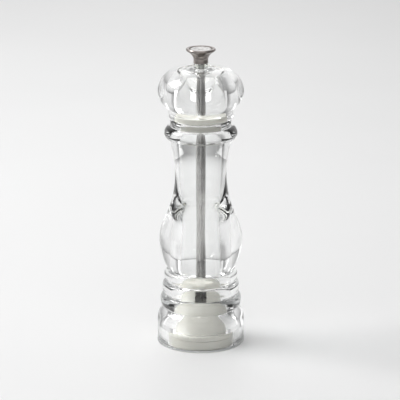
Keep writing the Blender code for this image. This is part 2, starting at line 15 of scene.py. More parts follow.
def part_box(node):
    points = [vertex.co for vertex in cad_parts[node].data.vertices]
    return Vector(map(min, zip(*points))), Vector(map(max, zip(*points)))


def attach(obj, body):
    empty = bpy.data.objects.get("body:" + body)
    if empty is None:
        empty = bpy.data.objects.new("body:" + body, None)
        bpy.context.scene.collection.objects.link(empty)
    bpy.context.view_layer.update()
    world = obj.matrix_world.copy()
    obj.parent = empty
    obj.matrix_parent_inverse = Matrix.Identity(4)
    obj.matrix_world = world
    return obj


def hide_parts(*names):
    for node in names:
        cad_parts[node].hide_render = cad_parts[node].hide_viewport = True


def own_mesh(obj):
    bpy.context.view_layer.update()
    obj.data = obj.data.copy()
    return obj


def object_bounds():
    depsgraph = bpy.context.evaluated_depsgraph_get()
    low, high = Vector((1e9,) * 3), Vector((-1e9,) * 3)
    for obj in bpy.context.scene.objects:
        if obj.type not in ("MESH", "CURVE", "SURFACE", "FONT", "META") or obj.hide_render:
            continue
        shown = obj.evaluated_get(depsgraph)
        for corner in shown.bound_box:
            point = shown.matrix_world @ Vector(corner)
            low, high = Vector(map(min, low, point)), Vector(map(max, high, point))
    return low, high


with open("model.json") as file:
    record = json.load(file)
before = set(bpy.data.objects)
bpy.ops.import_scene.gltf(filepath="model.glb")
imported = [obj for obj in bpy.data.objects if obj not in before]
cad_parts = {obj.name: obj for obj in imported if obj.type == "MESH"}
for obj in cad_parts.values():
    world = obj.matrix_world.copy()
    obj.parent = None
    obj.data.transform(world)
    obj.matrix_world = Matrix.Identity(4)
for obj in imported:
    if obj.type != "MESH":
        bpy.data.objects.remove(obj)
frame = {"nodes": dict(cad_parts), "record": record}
CAD_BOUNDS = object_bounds()

bl_info = {
    "name": "Clear pepper mill",
    "version": (1, 0, 0),
    "blender": (4, 5, 0),
    "location": "3D View > Sidebar > Mill",
    "description": "Finishes a clear turned pepper mill and sets it on a pale floor",
    "category": "Add Mesh",
}

FRONT = -math.pi / 2            # direction of the half plane whose cut gives an outline
JOINED = 0.000002               # points closer than this are one point
SAME_CIRCLE = 0.00002           # two ends this close in radius and level lie on one circle
STRAIGHT = math.radians(1.0)    # a turn smaller than this is a straight run
LONG_RUN = 2.2                  # a run this many times its neighbour keeps its own direction
ARC_CHORD = 0.28                # longest side of a turned node, as a share of its radius
SWEEP_RADIUS = 0.05             # circle that an outline is swept round before it is closed up
SOFT_EDGE = math.radians(28)    # edges sharper than this stay sharp on a turned piece
CUT_EDGE = math.radians(32)     # the same on a copied piece
ACRYLIC_ROUGHNESS = 0.006
ACRYLIC_SHADOW = (0.84, 0.85, 0.85)
LIGHT_BOUNCES = 28
FLOOR_REACH = 6.0


# ---------------------------------------------------------------- sizes and colours
class MillSizes(bpy.types.PropertyGroup):
    """Fineness of the turned pieces and the small details that the maker adds."""

    clear_sides: bpy.props.IntProperty(
        name="Clear sides", description="Sides of the clear turned pieces", default=224, min=32)
    metal_sides: bpy.props.IntProperty(
        name="Metal sides", description="Sides of the turned steel and plastic pieces",
        default=128, min=24)
    curve_steps: bpy.props.IntProperty(
        name="Curve steps", description="Points added between two points of a round outline",
        default=6, min=1)
    corner_angle: bpy.props.FloatProperty(
        name="Corner angle", description="A turn of the outline sharper than this stays a corner",
        default=math.radians(40), subtype="ANGLE")
    shaft_edge: bpy.props.FloatProperty(
        name="Shaft edge", description="Rounding of the square bar's edges",
        default=0.00035, unit="LENGTH")
    thread_pitch: bpy.props.FloatProperty(
        name="Thread pitch", description="Rise of the thread in one turn",
        default=0.0008, unit="LENGTH")
    thread_depth: bpy.props.FloatProperty(
        name="Thread depth", description="Height of the thread's ridge",
        default=0.00028, unit="LENGTH")
    spring_wire: bpy.props.FloatProperty(
        name="Spring wire", description="Radius of the spring's wire",
        default=0.00055, unit="LENGTH")
    spring_turns: bpy.props.FloatProperty(
        name="Spring turns", description="Turns of the spring", default=5.0)


class MillColours(bpy.types.PropertyGroup):
    """Colours of the mill's finishes."""

    acrylic: bpy.props.FloatVectorProperty(
        name="Acrylic", description="Tint of the clear acrylic", subtype="COLOR",
        default=(0.990, 0.995, 0.992), min=0, max=1)
    frosted: bpy.props.FloatVectorProperty(
        name="Frosted ring", description="Tint of the ring under the knob", subtype="COLOR",
        default=(0.90, 0.92, 0.90), min=0, max=1)
    steel: bpy.props.FloatVectorProperty(
        name="Knob steel", description="Satin steel of the knob", subtype="COLOR",
        default=(0.30, 0.27, 0.255), min=0, max=1)
    bright_steel: bpy.props.FloatVectorProperty(
        name="Bright steel", description="Polished steel of the inlay and the screws",
        subtype="COLOR", default=(0.56, 0.55, 0.54), min=0, max=1)
    shaft_steel: bpy.props.FloatVectorProperty(
        name="Shaft steel", description="Drawn steel of the square bar", subtype="COLOR",
        default=(0.54, 0.53, 0.52), min=0, max=1)
    plastic: bpy.props.FloatVectorProperty(
        name="Plastic", description="Off-white moulded plastic", subtype="COLOR",
        default=(0.72, 0.705, 0.645), min=0, max=1)
    ceramic: bpy.props.FloatVectorProperty(
        name="Ceramic", description="Grinding ceramic", subtype="COLOR",
        default=(0.84, 0.82, 0.78), min=0, max=1)
    floor: bpy.props.FloatVectorProperty(
        name="Floor", description="Pale floor", subtype="COLOR",
        default=(0.79, 0.79, 0.79), min=0, max=1)


class MillStage(bpy.types.PropertyGroup):
    """Camera, lights and floor."""

    camera_distance: bpy.props.FloatProperty(
        name="Camera distance", description="From the mill's axis to the camera, along the floor",
        default=1.450, unit="LENGTH")
    camera_height: bpy.props.FloatProperty(
        name="Camera height", description="Height of the camera above the floor",
        default=0.520, unit="LENGTH")
    camera_side: bpy.props.FloatProperty(
        name="Camera side", description="How far the camera stands to the left of the axis",
        default=0.00054, unit="LENGTH")
    aim_height: bpy.props.FloatProperty(
        name="Aim height", description="Height that the camera looks at",
        default=0.1003, unit="LENGTH")
    lens: bpy.props.FloatProperty(
        name="Lens", description="Focal length in millimetres on a 36 mm sensor", default=199.4)
    overhead_glow: bpy.props.FloatProperty(
        name="Overhead glow", description="Brightness of the long softbox overhead", default=1.1)
    key_glow: bpy.props.FloatProperty(
        name="Key glow", description="Brightness of the softbox high at the left", default=9.5)
    strip_glow: bpy.props.FloatProperty(
        name="Strip glow", description="Brightness of the low strip at the left; the right is half",
        default=1.2)
    sky_strength: bpy.props.FloatProperty(
        name="Sky strength", description="Strength of the surrounding light", default=1.0)


# ---------------------------------------------------------------- outlines read from the frame
def cut_edges(node, angle):
    """Edges where the half plane at an angle about Z cuts a node, as pairs of (radius, level)."""
    out = Vector((math.cos(angle), math.sin(angle), 0.0))
    across = Vector((-math.sin(angle), math.cos(angle), 0.0))
    shape = bmesh.new()
    shape.from_mesh(frame["nodes"][node].data)
    bmesh.ops.remove_doubles(shape, verts=shape.verts, dist=JOINED)
    everything = shape.verts[:] + shape.edges[:] + shape.faces[:]
    result = bmesh.ops.bisect_plane(shape, geom=everything, dist=0.000001,
                                    plane_co=(0.0, 0.0, 0.0), plane_no=across)
    pairs = []
    for item in result["geom_cut"]:
        if not isinstance(item, bmesh.types.BMEdge):
            continue
        ends = [(vertex.co.dot(out), vertex.co.z) for vertex in item.verts]
        if min(end[0] for end in ends) > -JOINED and max(end[0] for end in ends) > JOINED * 5:
            pairs.append((item.verts[0].index, item.verts[1].index, ends))
    shape.free()
    return pairs


def outline_of(node):
    """A turned node's outline as ordered (radius, level) points, and whether it is a ring."""
    places = {}
    beside = {}
    for first, second, ends in cut_edges(node, FRONT):
        places[first], places[second] = ends
        beside.setdefault(first, []).append(second)
        beside.setdefault(second, []).append(first)
    loose = [index for index, others in beside.items() if len(others) == 1]
    start = max(loose or beside, key=lambda index: (places[index][1], places[index][0]))
    path = [start]
    came_from = None
    while True:
        onward = [index for index in beside[path[-1]] if index != came_from]
        if not onward or (len(path) > 2 and onward[0] == start):
            break
        came_from = path[-1]
        path.append(max(onward, key=lambda index: places[index][0]) if len(path) == 1 else onward[0])
        if path[-1] == start:
            path.pop()
            break
    points = [Vector(places[index]) for index in path]
    return without_straight_points(points, not loose), not loose


def turn_at(before, here, after):
    first = here - before
    second = after - here
    if first.length < JOINED or second.length < JOINED:
        return 0.0
    return first.angle(second)


def without_straight_points(points, ring):
    """Drop the points that lie on a straight run."""
    kept = []
    count = len(points)
    for i, here in enumerate(points):
        if not ring and i in (0, count - 1):
            kept.append(here)
            continue
        if turn_at(points[i - 1], here, points[(i + 1) % count]) > STRAIGHT:
            kept.append(here)
    return kept


def rounded_outline(points, ring, steps, corner):
    """Pass a smooth curve through the points between corners; straight runs stay straight."""
    count = len(points)
    spans = count if ring else count - 1
    soft = []
    for i, here in enumerate(points):
        end = not ring and i in (0, count - 1)
        turn = 0.0 if end else turn_at(points[i - 1], here, points[(i + 1) % count])
        soft.append(not end and turn < corner)
    result = []
    for i in range(spans):
        here = points[i]
        there = points[(i + 1) % count]
        chord = there - here
        result.append(here)
        if not soft[i] and not soft[(i + 1) % count]:
            continue
        lean = slope_at(points, i, soft, chord)
        lean_there = slope_at(points, (i + 1) % count, soft, chord)
        for step in range(1, steps):
            result.append(hermite(here, there, lean, lean_there, step / steps))
    if not ring:
        result.append(points[-1])
    return [Vector((max(point.x, 0.0), point.y)) for point in result]


def slope_at(points, index, soft, chord):
    """Tangent at a point, as long as the chord beside it: along both neighbours if it is soft.

    Where a long straight run meets a short chord, the tangent follows the straight run.
    """
    if not soft[index]:
        return chord
    before = points[index] - points[index - 1]
    after = points[(index + 1) % len(points)] - points[index]
    longer, shorter = (before, after) if before.length > after.length else (after, before)
    if longer.length > shorter.length * LONG_RUN:
        return longer.normalized() * chord.length
    along = before.normalized() * after.length + after.normalized() * before.length
    return along.normalized() * chord.length


def hermite(start, end, lean_start, lean_end, t):
    """A point of the cubic from start to end with the given tangents."""
    square = t * t
    cube = square * t
    return (start * (2 * cube - 3 * square + 1) + lean_start * (cube - 2 * square + t)
            + end * (3 * square - 2 * cube) + lean_end * (cube - square))


# ---------------------------------------------------------------- geometry node trees
class Tree:
    """A geometry node tree under construction, laid out from left to right."""

    def __init__(self, name, inputs):
        self.tree = bpy.data.node_groups.new(name, "GeometryNodeTree")
        self.tree.is_modifier = True
        self.tree.interface.new_socket("Geometry", in_out="INPUT", socket_type="NodeSocketGeometry")
        for label, kind, value in inputs:
            socket = self.tree.interface.new_socket(label, in_out="INPUT", socket_type=kind)
            if value is not None:
                socket.default_value = value
        self.tree.interface.new_socket("Geometry", in_out="OUTPUT", socket_type="NodeSocketGeometry")
        self.column = 0
        self.inputs = self.add("NodeGroupInput").outputs

    def add(self, kind, values=None, **settings):
        """Add a node; values are socket values or links by input name."""
        node = self.tree.nodes.new(kind)
        node.location = (self.column * 190, 0)
        self.column += 1
        for key, value in settings.items():
            setattr(node, key, value)
        for label, value in (values or {}).items():
            socket = node.inputs[label]
            if isinstance(value, bpy.types.NodeSocket):
                self.tree.links.new(value, socket)
            else:
                socket.default_value = value
        return node

    def math(self, operation, first, second=0.0):
        node = self.add("ShaderNodeMath", {0: first, 1: second}, operation=operation)
        return node.outputs[0]

    def close(self, geometry):
        """End in Realize Instances and Set Material."""
        real = self.add("GeometryNodeRealizeInstances", {"Geometry": geometry})
        painted = self.add("GeometryNodeSetMaterial",
                           {"Geometry": real.outputs[0], "Material": self.inputs["Material"]})
        self.add("NodeGroupOutput", {"Geometry": painted.outputs[0]})
        return self.tree


MATERIAL_INPUT = ("Material", "NodeSocketMaterial", None)


def lathe_tree():
    """Sweep an outline round a circle: X is the distance from the circle, Y the level downwards."""
    tree = Tree("Turned piece", [
        ("Sides", "NodeSocketInt", 96),
        ("Circle radius", "NodeSocketFloat", 0.05),
        MATERIAL_INPUT,
    ])
    outline = tree.add("GeometryNodeMeshToCurve", {"Mesh": tree.inputs["Geometry"]})
    circle = tree.add("GeometryNodeCurvePrimitiveCircle",
                      {"Resolution": tree.inputs["Sides"], "Radius": tree.inputs["Circle radius"]})
    upright = tree.add("GeometryNodeSetCurveNormal", {"Curve": circle.outputs["Curve"]},
                       mode="Z_UP")
    swept = tree.add("GeometryNodeCurveToMesh",
                     {"Curve": upright.outputs["Curve"], "Profile Curve": outline.outputs["Curve"]})
    joined = tree.add("GeometryNodeMergeByDistance",
                      {"Geometry": swept.outputs["Mesh"], "Distance": JOINED})
    return tree.close(joined.outputs["Geometry"])


def coil_tree():
    """A round wire wound on a cylinder, its pitch easing off at both ends."""
    tree = Tree("Coil", [
        ("Turns", "NodeSocketFloat", 5.0),
        ("Coil radius", "NodeSocketFloat", 0.005),
        ("Foot", "NodeSocketFloat", 0.0),
        ("Height", "NodeSocketFloat", 0.018),
        ("Wire radius", "NodeSocketFloat", 0.0005),
        ("Wire sides", "NodeSocketInt", 12),
        ("Ease", "NodeSocketFloat", 0.0),
        MATERIAL_INPUT,
    ])
    spiral = tree.add("GeometryNodeCurveSpiral", {
        "Resolution": 40, "Rotations": tree.inputs["Turns"],
        "Start Radius": tree.inputs["Coil radius"], "End Radius": tree.inputs["Coil radius"],
        "Height": 1.0})
    place = tree.add("GeometryNodeInputPosition")
    parts = tree.add("ShaderNodeSeparateXYZ", {"Vector": place.outputs[0]})
    eased = tree.add("ShaderNodeMapRange", {"Value": parts.outputs["Z"]},
                     interpolation_type="SMOOTHSTEP")
    share = tree.add("ShaderNodeMix", {"Factor": tree.inputs["Ease"], "A": parts.outputs["Z"],
                                       "B": eased.outputs["Result"]})
    rise = tree.math("MULTIPLY", share.outputs[0], tree.inputs["Height"])
    level = tree.math("ADD", rise, tree.inputs["Foot"])
    target = tree.add("ShaderNodeCombineXYZ", {"X": parts.outputs["X"], "Y": parts.outputs["Y"],
                                               "Z": level})
    wound = tree.add("GeometryNodeSetPosition",
                     {"Geometry": spiral.outputs["Curve"], "Position": target.outputs[0]})
    wire = tree.add("GeometryNodeCurvePrimitiveCircle",
                    {"Resolution": tree.inputs["Wire sides"], "Radius": tree.inputs["Wire radius"]})
    swept = tree.add("GeometryNodeCurveToMesh", {
        "Curve": wound.outputs["Geometry"], "Profile Curve": wire.outputs["Curve"],
        "Fill Caps": True})
    smooth = tree.add("GeometryNodeSetShadeSmooth", {"Geometry": swept.outputs["Mesh"]})
    return tree.close(smooth.outputs[0])


def circle_copies_tree():
    """Copies of the input piece at even steps round the mill's axis."""
    tree = Tree("Copies on a circle", [
        ("Count", "NodeSocketInt", 3),
        ("Circle radius", "NodeSocketFloat", 0.01),
        ("Start angle", "NodeSocketFloat", 0.0),
        MATERIAL_INPUT,
    ])
    index = tree.add("GeometryNodeInputIndex").outputs[0]
    step = tree.math("DIVIDE", math.tau, tree.inputs["Count"])
    turn = tree.math("ADD", tree.math("MULTIPLY", index, step), tree.inputs["Start angle"])
    across = tree.math("MULTIPLY", tree.math("COSINE", turn), tree.inputs["Circle radius"])
    along = tree.math("MULTIPLY", tree.math("SINE", turn), tree.inputs["Circle radius"])
    place = tree.add("ShaderNodeCombineXYZ", {"X": across, "Y": along})
    points = tree.add("GeometryNodePoints",
                      {"Count": tree.inputs["Count"], "Position": place.outputs[0]})
    copies = tree.add("GeometryNodeInstanceOnPoints",
                      {"Points": points.outputs[0], "Instance": tree.inputs["Geometry"]})
    return tree.close(copies.outputs["Instances"])


def run_tree(obj, tree, values):
    """Put a tree on an object with the given inputs and return its result as a plain mesh."""
    modifier = obj.modifiers.new("Tree", "NODES")
    modifier.node_group = tree
    for item in tree.interface.items_tree:
        if item.item_type == "SOCKET" and item.in_out == "INPUT" and item.name in values:
            modifier[item.identifier] = values[item.name]
    return baked(obj)


def baked(obj):
    """Replace the object's mesh by its evaluated one and drop its modifiers."""
    bpy.context.view_layer.update()
    graph = bpy.context.evaluated_depsgraph_get()
    mesh = bpy.data.meshes.new_from_object(obj.evaluated_get(graph))
    obj.modifiers.clear()
    obj.data = mesh
    mesh.name = obj.name
    return obj


# ---------------------------------------------------------------- pieces
def new_piece(name, points=(), edges=(), faces=()):
    mesh = bpy.data.meshes.new(name)
    mesh.from_pydata([tuple(point) for point in points], list(edges), list(faces))
    obj = bpy.data.objects.new(name, mesh)
    bpy.context.scene.collection.objects.link(obj)
    return obj


def facing_out(obj):
    """Turn every face outwards on a closed piece."""
    shape = bmesh.new()
    shape.from_mesh(obj.data)
    if shape.calc_volume(signed=True) < 0:
        bmesh.ops.reverse_faces(shape, faces=shape.faces)
    shape.to_mesh(obj.data)
    shape.free()
    return obj


def shaded(obj, sharp=SOFT_EDGE):
    obj.data.shade_smooth()
    obj.data.set_sharp_from_angle(angle=sharp)
    return obj


def lathe(name, points, ring, sides, surface):
    """A turned piece from an outline of (radius, level) points."""
    count = len(points)
    edges = [(i, i + 1) for i in range(count - 1)]
    if ring:
        edges.append((count - 1, 0))
    flat = [(point.x - SWEEP_RADIUS, -point.y, 0.0) for point in points]
    obj = new_piece(name, flat, edges)
    run_tree(obj, lathe_tree(), {"Sides": sides, "Circle radius": SWEEP_RADIUS,
                                 "Material": surface})
    return shaded(facing_out(obj))


def turned_again(name, node, sides, surface):
    """The node turned again from its own outline, with its round stretches made smooth."""
    sizes = bpy.context.scene.mill_sizes
    points, ring = outline_of(node)
    points = rounded_outline(points, ring, sizes.curve_steps, sizes.corner_angle)
    return lathe(name, points, ring, sides, surface)


def body_of(node):
    for body, members in frame["record"]["behaviour"]["bodies"].items():
        if node in members:
            return body
    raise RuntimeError(f"no body holds {node}")


def fit(obj, surface, slot, *nodes):
    """Give a finished piece its material, its body and the nodes that it stands for."""
    obj.data.materials.clear()
    obj.data.materials.append(surface)
    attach(obj, body_of(nodes[0]))
    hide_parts(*nodes)
    return obj


def round_copy(name, node, cuts=4):
    """A copy of a node whose level chords about the axis are cut up into finer arcs."""
    mesh = frame["nodes"][node].data.copy()
    shape = bmesh.new()
    shape.from_mesh(mesh)
    bmesh.ops.remove_doubles(shape, verts=shape.verts, dist=JOINED)
    bmesh.ops.dissolve_limit(shape, angle_limit=math.radians(0.6), verts=shape.verts,
                             edges=shape.edges)
    for edge in [edge for edge in shape.edges if is_arc_chord(edge)]:
        first, last = edge.verts
        start, end = first.co.copy(), last.co.copy()
        radius = start.xy.length
        here = first
        for step in range(1, cuts):
            edge, here = bmesh.utils.edge_split(edge, here, 1.0 / (cuts - step + 1))
            edge = next(other for other in here.link_edges if last in other.verts)
            along = start.xy.lerp(end.xy, step / cuts).normalized() * radius
            here.co = (along.x, along.y, start.z)
    bmesh.ops.triangulate(shape, faces=shape.faces)
    shape.to_mesh(mesh)
    shape.free()
    mesh.name = name
    obj = bpy.data.objects.new(name, mesh)
    bpy.context.scene.collection.objects.link(obj)
    return shaded(obj, CUT_EDGE)


def is_arc_chord(edge):
    """Whether an edge is a level chord of a circle about the axis, one side of a turned piece."""
    start, end = (vertex.co for vertex in edge.verts)
    radius = start.xy.length
    apart = max(abs(radius - end.xy.length), abs(start.z - end.z))
    return radius > 0.001 and apart <= SAME_CIRCLE and (start.xy - end.xy).length < radius * ARC_CHORD


# ---------------------------------------------------------------- materials
class Finish:
    """A material under construction: a Principled shader fed by procedural nodes."""

    def __init__(self, name):
        self.material = bpy.data.materials.new(name)
        self.material.use_nodes = True
        self.nodes = self.material.node_tree.nodes
        self.links = self.material.node_tree.links
        self.shader = self.nodes["Principled BSDF"]
        self.output = self.nodes["Material Output"]
        self.place = self.nodes.new("ShaderNodeTexCoord").outputs["Object"]

    def set(self, **values):
        """Plain values on the shader's own sockets, underscores for spaces."""
        for label, value in values.items():
            self.shader.inputs[label.replace("_", " ")].default_value = value
        return self

    def node(self, kind, values=None, **settings):
        node = self.nodes.new(kind)
        for key, value in settings.items():
            setattr(node, key, value)
        for label, value in (values or {}).items():
            if isinstance(value, bpy.types.NodeSocket):
                self.links.new(value, node.inputs[label])
            else:
                node.inputs[label].default_value = value
        return node

    def stretched(self, scale):
        """Object coordinates scaled along each axis."""
        return self.node("ShaderNodeMapping", {"Vector": self.place, "Scale": scale}).outputs[0]

    def noise(self, vector, scale, detail=4.0, roughness=0.55):
        node = self.node("ShaderNodeTexNoise", {"Vector": vector, "Scale": scale,
                                                "Detail": detail, "Roughness": roughness})
        return node.outputs["Fac"]

    def ramp(self, value, low, high, start=0.3, end=0.7):
        """Blend two colours by a value between start and end."""
        node = self.node("ShaderNodeValToRGB", {"Fac": value})
        node.color_ramp.elements[0].position = start
        node.color_ramp.elements[0].color = (*low, 1.0)
        node.color_ramp.elements[1].position = end
        node.color_ramp.elements[1].color = (*high, 1.0)
        return node.outputs["Color"]

    def between(self, value, low, high, start=0.0, end=1.0, kind="LINEAR"):
        """Map a value between start and end onto a range."""
        node = self.node("ShaderNodeMapRange", {"Value": value, "From Min": start, "From Max": end,
                                                "To Min": low, "To Max": high},
                         interpolation_type=kind)
        return node.outputs["Result"]

    def maths(self, operation, first, second=0.0):
        return self.node("ShaderNodeMath", {0: first, 1: second}, operation=operation).outputs[0]

    def feed(self, label, socket):
        self.links.new(socket, self.shader.inputs[label])
        return self

    def bump(self, height, strength, distance):
        node = self.node("ShaderNodeBump", {"Height": height, "Strength": strength,
                                            "Distance": distance})
        self.links.new(node.outputs["Normal"], self.shader.inputs["Normal"])
        return self

    def rings(self, spacing, wobble):
        """Turning marks: fine rings about the axis, at even levels along it."""
        parts = self.node("ShaderNodeSeparateXYZ", {"Vector": self.place})
        shift = self.maths("MULTIPLY", self.noise(self.place, wobble, 2.0), spacing * 1.5)
        level = self.maths("ADD", parts.outputs["Z"], shift)
        wave = self.maths("SINE", self.maths("MULTIPLY", level, math.tau / spacing))
        return self.between(wave, 0.0, 1.0)


def shades(colour, spread):
    """A darker and a lighter version of a colour."""
    low = tuple(max(part * (1 - spread), 0.0) for part in colour)
    high = tuple(min(part * (1 + spread), 1.0) for part in colour)
    return low, high


def clear_finish(name, colour, roughness, shadow):
    """Polished acrylic: bends light, with faint polishing waves, and lets lamps through."""
    finish = Finish(name)
    finish.set(IOR=1.49, Transmission_Weight=1.0, Base_Color=(*colour, 1.0))
    haze = finish.noise(finish.place, 90.0, 3.0)
    finish.feed("Roughness", finish.between(haze, roughness * 0.4, roughness * 1.6))
    waves = finish.noise(finish.stretched((1.0, 1.0, 0.35)), 60.0, 1.0)
    finish.bump(waves, 0.04, 0.0003)
    passing = finish.node("ShaderNodeBsdfTransparent", {"Color": (*shadow, 1.0)})
    ray = finish.node("ShaderNodeLightPath")
    mix = finish.node("ShaderNodeMixShader", {"Fac": ray.outputs["Is Shadow Ray"]})
    finish.links.new(finish.shader.outputs["BSDF"], mix.inputs[1])
    finish.links.new(passing.outputs["BSDF"], mix.inputs[2])
    finish.links.new(mix.outputs["Shader"], finish.output.inputs["Surface"])
    return finish.material


def turned_steel(name, colour, roughness, spacing=0.00022):
    """Satin steel with fine turning marks and soft stains."""
    finish = Finish(name)
    finish.set(Metallic=1.0)
    low, high = shades(colour, 0.14)
    stain = finish.noise(finish.place, 160.0, 5.0)
    finish.feed("Base Color", finish.ramp(stain, low, high))
    marks = finish.rings(spacing, 900.0)
    blend = finish.maths("MULTIPLY", marks, stain)
    finish.feed("Roughness", finish.between(blend, roughness * 0.8, roughness * 1.35))
    finish.bump(marks, 0.10, 0.00002)
    return finish.material


def drawn_steel(name, colour, roughness):
    """Steel bar or wire with long drawing lines."""
    finish = Finish(name)
    finish.set(Metallic=1.0)
    low, high = shades(colour, 0.16)
    lines = finish.noise(finish.stretched((1.0, 1.0, 0.02)), 2600.0, 3.0)
    patches = finish.noise(finish.place, 120.0, 4.0)
    finish.feed("Base Color", finish.ramp(patches, low, high))
    finish.feed("Roughness", finish.between(lines, roughness * 0.75, roughness * 1.3))
    finish.bump(lines, 0.12, 0.00003)
    return finish.material


def moulded_plastic(name, colour, roughness):
    """Off-white plastic with a fine spark-eroded grain and slight mottling."""
    finish = Finish(name)
    finish.set(Specular_IOR_Level=0.45, Subsurface_Weight=0.12, Subsurface_Scale=0.001,
               Subsurface_Radius=(1.0, 0.9, 0.8))
    low, high = shades(colour, 0.035)
    mottle = finish.noise(finish.place, 70.0, 4.0)
    finish.feed("Base Color", finish.ramp(mottle, low, high))
    grain = finish.noise(finish.place, 3200.0, 3.0)
    finish.feed("Roughness", finish.between(grain, roughness * 0.85, roughness * 1.15))
    finish.bump(grain, 0.14, 0.00004)
    return finish.material


def fired_ceramic(name, colour):
    """Matt ceramic with a granular surface and a few darker specks."""
    finish = Finish(name)
    low, high = shades(colour, 0.06)
    speck = finish.noise(finish.place, 1500.0, 6.0, 0.7)
    finish.feed("Base Color", finish.ramp(speck, low, high, 0.25, 0.6))
    finish.feed("Roughness", finish.between(speck, 0.42, 0.62))
    finish.bump(speck, 0.25, 0.00006)
    return finish.material


def floor_with_painted_shade(name, colour):
    """Matt pale floor with painted shade well out beside the mill, deeper at the right, so that the
    clear walls get dark edges.
    """
    finish = Finish(name)
    low, high = shades(colour, 0.012)
    cloud = finish.noise(finish.place, 3.0, 3.0)
    pale = finish.ramp(cloud, low, high)
    # Painted shade: away from the mill's sides the floor colour is mixed towards black, as where the
    # studio light falls off.
    parts = finish.node("ShaderNodeSeparateXYZ", {"Vector": finish.place})
    across = finish.maths("ABSOLUTE", parts.outputs["X"])
    along = finish.maths("ABSOLUTE", parts.outputs["Y"])
    lean = finish.maths("DIVIDE", along, across)
    out = finish.between(across, 0.0, 1.0, 0.14, 0.28, "SMOOTHSTEP")
    beside = finish.between(lean, 1.0, 0.0, 0.45, 1.40, "SMOOTHSTEP")
    side_shade_strength = finish.between(parts.outputs["X"], 0.30, 0.46, -0.1, 0.1)    # painted shade, deeper at the right
    shade = finish.maths("MULTIPLY", finish.maths("MULTIPLY", out, beside), side_shade_strength)
    mix = finish.node("ShaderNodeMix", {"Factor": shade}, data_type="RGBA")
    finish.links.new(pale, mix.inputs[6])
    mix.inputs[7].default_value = (0.0, 0.0, 0.0, 1.0)    # inputs 6 and 7 are the two colours
    finish.feed("Base Color", mix.outputs[2])
    finish.set(Roughness=0.55, Specular_IOR_Level=0.25)
    return finish.material


# ---------------------------------------------------------------- operators: clear pieces
class MILL_OT_body(bpy.types.Operator):
    """Turn the clear body again with fine sides and polish it"""

    bl_idname = "mill.body"
    bl_label = "Clear body"

    def execute(self, context):
        colours = context.scene.mill_colours
        surface = clear_finish("body_acrylic", colours.acrylic, ACRYLIC_ROUGHNESS, ACRYLIC_SHADOW)
        shell = turned_again("clear_body", "body_shell", context.scene.mill_sizes.clear_sides, surface)
        fit(shell, surface, "body_shell", "body_shell")
        return {"FINISHED"}


class MILL_OT_head(bpy.types.Operator):
    """Turn the clear head again with fine sides and polish it"""

    bl_idname = "mill.head"
    bl_label = "Clear head"

    def execute(self, context):
        colours = context.scene.mill_colours
        surface = clear_finish("head_acrylic", colours.acrylic, ACRYLIC_ROUGHNESS, ACRYLIC_SHADOW)
        cap = turned_again("clear_head", "head_cap", context.scene.mill_sizes.clear_sides, surface)
        fit(cap, surface, "head_cap", "head_cap")
        return {"FINISHED"}


class MILL_OT_glide_ring(bpy.types.Operator):
    """Turn the ring between the knob and the head"""

    bl_idname = "mill.glide_ring"
    bl_label = "Glide ring"

    def execute(self, context):
        colours = context.scene.mill_colours
        surface = clear_finish("ring_acrylic", colours.frosted, 0.12, (0.84, 0.85, 0.84))
        ring = turned_again("glide_ring_clear", "glide_ring", context.scene.mill_sizes.metal_sides,
                            surface)
        fit(ring, surface, "glide_ring", "glide_ring")
        return {"FINISHED"}


# ---------------------------------------------------------------- operators: knob and shaft
class MILL_OT_knob(bpy.types.Operator):
    """Turn the steel knob and its bright inlay"""

    bl_idname = "mill.knob"
    bl_label = "Knob and inlay"

    def execute(self, context):
        colours = context.scene.mill_colours
        sides = context.scene.mill_sizes.metal_sides
        satin = turned_steel("knob_steel", colours.steel, 0.30)
        knob = turned_again("turned_knob", "knob", sides, satin)
        fit(knob, satin, "knob", "knob")
        bright = turned_steel("inlay_steel", colours.bright_steel, 0.28, 0.00015)
        inlay = turned_again("ringed_inlay", "knob_inlay", sides, bright)
        fit(inlay, bright, "knob_inlay", "knob_inlay")
        return {"FINISHED"}


class MILL_OT_shaft(bpy.types.Operator):
    """Make the square bar with rounded edges and its threaded end"""

    bl_idname = "mill.shaft"
    bl_label = "Square shaft"

    def execute(self, context):
        sizes = context.scene.mill_sizes
        surface = drawn_steel("shaft_steel", context.scene.mill_colours.shaft_steel, 0.26)
        outline, _ = outline_of("shaft")
        foot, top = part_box("shaft")
        corner = max(point.x for point in outline)
        square_top = max(point.y for point in outline if point.x > corner * 0.98)
        thread_radius = max(point.x for point in outline if point.y > square_top + 0.003)
        bar = self.square_bar(corner, foot.z, square_top, sizes.shaft_edge)
        root = thread_radius - sizes.thread_depth
        end_points = [Vector(point) for point in (
            (0.0, top.z), (root - 0.0002, top.z), (root, top.z - 0.0003),
            (root, square_top - 0.002), (0.0, square_top - 0.002))]
        end = lathe("thread_core", end_points, False, 48, surface)
        ridge = new_piece("thread_ridge")
        height = top.z - square_top - 0.0014
        run_tree(ridge, coil_tree(), {
            "Turns": height / sizes.thread_pitch, "Coil radius": root,
            "Foot": square_top + 0.0006, "Height": height, "Wire radius": sizes.thread_depth,
            "Wire sides": 6, "Ease": 0.0, "Material": surface})
        shaft = joined("square_shaft", [bar, end, ridge])
        fit(shaft, surface, "shaft", "shaft")
        return {"FINISHED"}

    def square_bar(self, corner, low, high, edge):
        """A square bar, one corner to the front, its long edges rounded."""
        shape = bmesh.new()
        side = corner * math.sqrt(2)
        place = (Matrix.Translation((0.0, 0.0, (low + high) / 2))
                 @ Matrix.Rotation(math.pi / 4, 4, "Z") @ Matrix.Diagonal((side, side, high - low, 1.0)))
        bmesh.ops.create_cube(shape, size=1.0, matrix=place)
        obj = new_piece("square_bar")
        shape.to_mesh(obj.data)
        shape.free()
        bevel = obj.modifiers.new("Edges", "BEVEL")
        bevel.width = edge
        bevel.segments = 3
        bevel.limit_method = "ANGLE"
        return shaded(baked(obj), math.radians(40))


